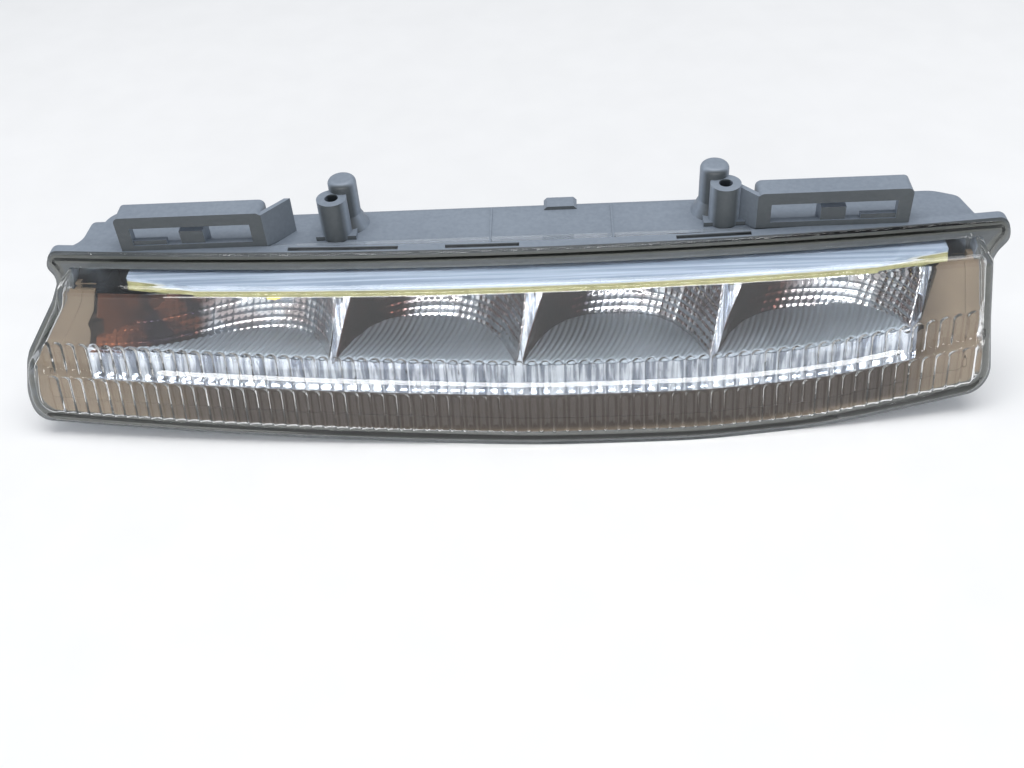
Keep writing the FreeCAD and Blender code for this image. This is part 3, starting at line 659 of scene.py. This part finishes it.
def reflectorMaterial():
    material, tree, shader = newMaterial("metallisedLook", 0.12, 1.0)
    streaks = noise(tree, scaled(tree, ownPlaces(tree), (1.0, 0.1, 0.08)), grain["metallised"], 3.0)
    silver = ramp(tree, streaks, ((0.42, reflectorPaint["shadow"]), (0.58, reflectorPaint["silver"])))
    place = split(tree, ownPlaces(tree))
    # painted shade: near black left of one place and above another, at the first cell's closed end
    beside = calc(tree, "LESS_THAN", place[0], reflectorPaint["shadeLeftOf"])
    above = calc(tree, "GREATER_THAN", place[2], reflectorPaint["shadeAbove"])
    paintedShadeEnd = calc(tree, "MULTIPLY", beside, above)
    tree.links.new(blend(tree, paintedShadeEnd, silver, reflectorPaint["dark"]), shader.inputs["Base Color"])
    addBump(tree, shader, streaks, reflectorPaint["bump"], grain["streakDepth"])
    return material


# bezel behind the flutes, in painted reflection: tan at both ends and along the foot, dark brown in the
# middle band;
# rise and bowAt in millimetres, both bows per millimetre, the foot and the ends in metres
bezelReflectionPaint = {
    "tan": (0.145, 0.113, 0.08), "darkReflectionBrown": (0.02, 0.013, 0.009), "paleShare": 0.85,
    "rise": 59.0, "leftBow": 0.0002, "rightBow": 0.00107, "bowAt": 35.0,
    "foot": 0.0014, "footBlur": 0.0012, "leftEnd": (-0.132, -0.08), "rightEnd": (0.092, 0.115),
}


# 0 before one place and 1 beyond another, with a soft change between them
def fadeBetween(tree, value, start, end):
    node = tree.nodes.new("ShaderNodeMapRange")
    node.interpolation_type = "SMOOTHSTEP"
    node.inputs["From Min"].default_value = start
    node.inputs["From Max"].default_value = end
    tree.links.new(value, node.inputs["Value"])
    return node.outputs[0]


def bezelReflectionMaterial():
    material, tree, shader = newMaterial("bezelPaintedReflectionLook", 0.75)
    shader.inputs["Specular IOR Level"].default_value = 0.15
    place = split(tree, ownPlaces(tree))
    x, z = place[0], place[2]
    bowAt = bezelReflectionPaint["bowAt"] * mm
    beyondLeft = calc(tree, "MAXIMUM", calc(tree, "SUBTRACT", bowAt, x), 0.0)
    beyondRight = calc(tree, "MAXIMUM", calc(tree, "SUBTRACT", x, bowAt), 0.0)
    height = calc(tree, "ADD", z, bezelReflectionPaint["rise"] * mm)
    for beyond, amount in ((beyondLeft, bezelReflectionPaint["leftBow"]), (beyondRight, bezelReflectionPaint["rightBow"])):
        squared = calc(tree, "MULTIPLY", calc(tree, "MULTIPLY", beyond, beyond), amount / mm)
        height = calc(tree, "SUBTRACT", height, squared)
    foot, blur = bezelReflectionPaint["foot"], bezelReflectionPaint["footBlur"]
    # painted reflection: dark brown in the middle band, fading to mottled tan towards the foot and both
    # ends
    dark = fadeBetween(tree, height, foot - blur, foot + blur)
    dark = calc(tree, "MULTIPLY", dark, fadeBetween(tree, x, *bezelReflectionPaint["leftEnd"]))
    leftOfEnd = calc(tree, "SUBTRACT", 1.0, fadeBetween(tree, x, *bezelReflectionPaint["rightEnd"]))
    dark = calc(tree, "MULTIPLY", dark, leftOfEnd)
    duller = tuple(bezelReflectionPaint["paleShare"] * part for part in bezelReflectionPaint["tan"])
    pale = noiseTone(tree, grain["mottle"], 0.3, duller, 0.7, bezelReflectionPaint["tan"])
    tree.links.new(blend(tree, dark, pale, bezelReflectionPaint["darkReflectionBrown"]), shader.inputs["Base Color"])
    return material


# the way a face looks, as x, y and z
def facing(tree):
    return split(tree, tree.nodes.new("ShaderNodeNewGeometry").outputs["Normal"])


# the board is lacquered on top and along its edge, and pale underneath
def boardMaterial():
    material, tree, shader = newMaterial("boardLook", 0.5)
    under = calc(tree, "LESS_THAN", facing(tree)[2], -0.5)
    weave = noiseTone(tree, grain["weave"], 0.35, (0.2, 0.195, 0.085), 0.65, (0.3, 0.29, 0.14))
    tree.links.new(blend(tree, under, weave, (0.5, 0.53, 0.52)), shader.inputs["Base Color"])
    return material


# moulded grey plastic of the housing, with painted shade where it faces forward behind the clear rim
def housingMaterial():
    material = grainMaterial("housingLook", (0.19, 0.225, 0.275), (0.235, 0.275, 0.33), 0.5)
    tree = material.node_tree
    shader = tree.nodes["Principled BSDF"]
    grey = shader.inputs["Base Color"].links[0].from_socket
    # painted shade: faces that look forward are darkened, as the light falls from above
    forward = calc(tree, "MULTIPLY", facing(tree)[1], -1.0)
    shade = ramp(tree, forward, ((0.45, (1.0, 1.0, 1.0)), (0.8, (0.24, 0.24, 0.22))))
    mix = tree.nodes.new("ShaderNodeMix")
    mix.data_type = "RGBA"
    mix.blend_type = "MULTIPLY"
    mix.inputs[0].default_value = 1.0
    tree.links.new(grey, mix.inputs[6])
    tree.links.new(shade, mix.inputs[7])
    tree.links.new(mix.outputs[2], shader.inputs["Base Color"])
    return material


# finishes that more than one CAD node wears, and those of single nodes
black = grainMaterial("blackRubberLook", (0.012, 0.012, 0.012), (0.03, 0.03, 0.03), 0.65)
steel = streakMaterial("screwSteelLook", (0.55, 0.55, 0.56), (0.75, 0.75, 0.76), 0.3, 1.0)
brass = streakMaterial("bladeLook", (0.62, 0.6, 0.55), (0.8, 0.78, 0.72), 0.25, 1.0)
ledLook = grainMaterial("ledLook", (0.75, 0.62, 0.08), (0.9, 0.8, 0.2), 0.35)
looks = {
    "housing": housingMaterial(),
    "lens_seal": grainMaterial("sealLook", (0.04, 0.045, 0.04), (0.06, 0.065, 0.06), 0.5),
    "reflector": reflectorMaterial(),
    "bezel": bezelReflectionMaterial(),
    # heat spreader: its bluish tone is painted reflection and its long pale streaks are painted
    # highlights
    "heat_spreader": streakMaterial("spreaderPaintedReflectionLook", (0.22, 0.28, 0.37), (0.41, 0.485, 0.6), 0.35, 0.2),
    "thermal_pad": grainMaterial("padLook", (0.42, 0.44, 0.44), (0.52, 0.54, 0.54), 0.7),
    "led_board": boardMaterial(),
    "driver_board": grainMaterial("driverBoardLook", (0.02, 0.12, 0.05), (0.03, 0.17, 0.07), 0.4,
                                  grain["driverBoard"]),
    "driver_chip": black,
    "inductor": grainMaterial("ferriteLook", (0.05, 0.05, 0.055), (0.09, 0.09, 0.095), 0.6),
    "capacitors": streakMaterial("capacitorLook", (0.5, 0.5, 0.52), (0.68, 0.68, 0.7), 0.3, 0.8),
    "lead_red": grainMaterial("redLeadLook", (0.35, 0.02, 0.015), (0.45, 0.03, 0.02), 0.45),
    "lead_black": black,
    "vent_cap": grainMaterial("ventCapLook", (0.03, 0.03, 0.032), (0.05, 0.05, 0.052), 0.55),
}


def lookOf(name):
    if name in looks:
        return looks[name]
    if "screw" in name:
        return steel
    if name.startswith("led_"):
        return ledLook
    if "seal" in name:
        return black
    return brass


for name, item in nodes.items():
    item.data.materials.clear()
    item.data.materials.append(lookOf(name))
print("node finishes done:", sorted(name for name in nodes if name not in looks))

clearLens = makeLens(lensMaterial())
tidyNormals(clearLens)
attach(clearLens, "root")
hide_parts("lens")
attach(makeBezelFoot(looks["bezel"]), "root")
print("lens and bezel foot done")

# cell wall mirrors with painted reflection, warmer in the first cell
paintedReflectionMirror = cellWallMaterial("cellMirrorPaintedReflectionLook", (0.01, 0.007, 0.014), (0.15, 0.055, 0.035))
firstPaintedReflectionMirror = cellWallMaterial("firstCellMirrorPaintedReflectionLook", (0.012, 0.009, 0.015), (0.22, 0.075, 0.035))
floorLook = cellFloorMaterial()
for index in range(len(cells["apexes"])):
    mirror = firstPaintedReflectionMirror if index == 0 else paintedReflectionMirror
    for piece in (makeCellWall(index, mirror), makeCellFloor(index, floorLook)):
        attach(piece, "root")
print("cells done:", len(cells["apexes"]))

# pale floor, sky and two soft boxes, in metres and watts; the low box in front is what the
# lens's crown mirrors as the long highlight
stage = {
    "floorSize": 6.0, "floorDark": (0.88, 0.88, 0.88), "floorLight": (0.9, 0.9, 0.9),
    "sky": (0.88, 0.92, 0.98, 1.0), "skyStrength": 0.45,
    "topBox": {"place": (0.0, 0.05, 0.75), "target": (0, 0, 0), "width": 0.9, "depth": 0.5, "power": 5.2},
    "frontBox": {"place": (-0.05, -0.9, 0.1), "target": (0, 0, -0.04), "width": 0.95, "depth": 0.13,
                 "power": 5.2},
}
bpy.ops.mesh.primitive_plane_add(size=stage["floorSize"], location=(0, 0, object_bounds()[0][2]))
floor = bpy.context.object
floor.name = "paleFloor"
floor.data.materials.append(grainMaterial("paleFloorLook", stage["floorDark"], stage["floorLight"], 0.9,
                                          grain["stage"], 0.0))

# the photograph's camera: turns in degrees, place and sensor in millimetres, focal length and
# image width in pixels, nearest in metres
view = {
    "pitch": 42.0, "yaw": -3.8, "roll": -4.3, "place": (9.74, -262.1, 168.8),
    "focal": 1181.0, "imageWidth": 1024.0, "sensor": 36.0, "nearest": 0.01,
}


def makeCamera():
    pitch, yaw, roll = (math.radians(view[k]) for k in ("pitch", "yaw", "roll"))
    ahead = Vector((math.sin(yaw) * math.cos(pitch), math.cos(yaw) * math.cos(pitch), -math.sin(pitch)))
    level = Vector((math.cos(yaw), -math.sin(yaw), 0.0))
    upright = level.cross(ahead)
    across = math.cos(roll) * level + math.sin(roll) * upright
    up = -math.sin(roll) * level + math.cos(roll) * upright
    camera = bpy.data.objects.new("photoCamera", bpy.data.cameras.new("photoCamera"))
    bpy.context.scene.collection.objects.link(camera)
    turn = Matrix((across, up, -ahead)).transposed().to_4x4()
    camera.matrix_world = Matrix.Translation(Vector(view["place"]) * mm) @ turn
    camera.data.sensor_width = view["sensor"]
    camera.data.lens = view["sensor"] * view["focal"] / view["imageWidth"]
    camera.data.clip_start = view["nearest"]
    bpy.context.scene.camera = camera


def addBox(name):
    box = stage[name]
    light = bpy.data.lights.new(name, "AREA")
    light.shape = "RECTANGLE"
    light.size = box["width"]
    light.size_y = box["depth"]
    light.energy = box["power"]
    item = bpy.data.objects.new(name, light)
    bpy.context.scene.collection.objects.link(item)
    item.location = box["place"]
    ahead = Vector(box["target"]) - Vector(box["place"])
    item.rotation_euler = ahead.to_track_quat("-Z", "Y").to_euler()


makeCamera()
addBox("topBox")
addBox("frontBox")

world = bpy.data.worlds.new("studio")
world.use_nodes = True
sky = world.node_tree.nodes["Background"]
sky.inputs["Color"].default_value = stage["sky"]
sky.inputs["Strength"].default_value = stage["skyStrength"]
bpy.context.scene.world = world
bpy.context.scene.view_settings.view_transform = "Standard"
print("camera, floor and lamps done")
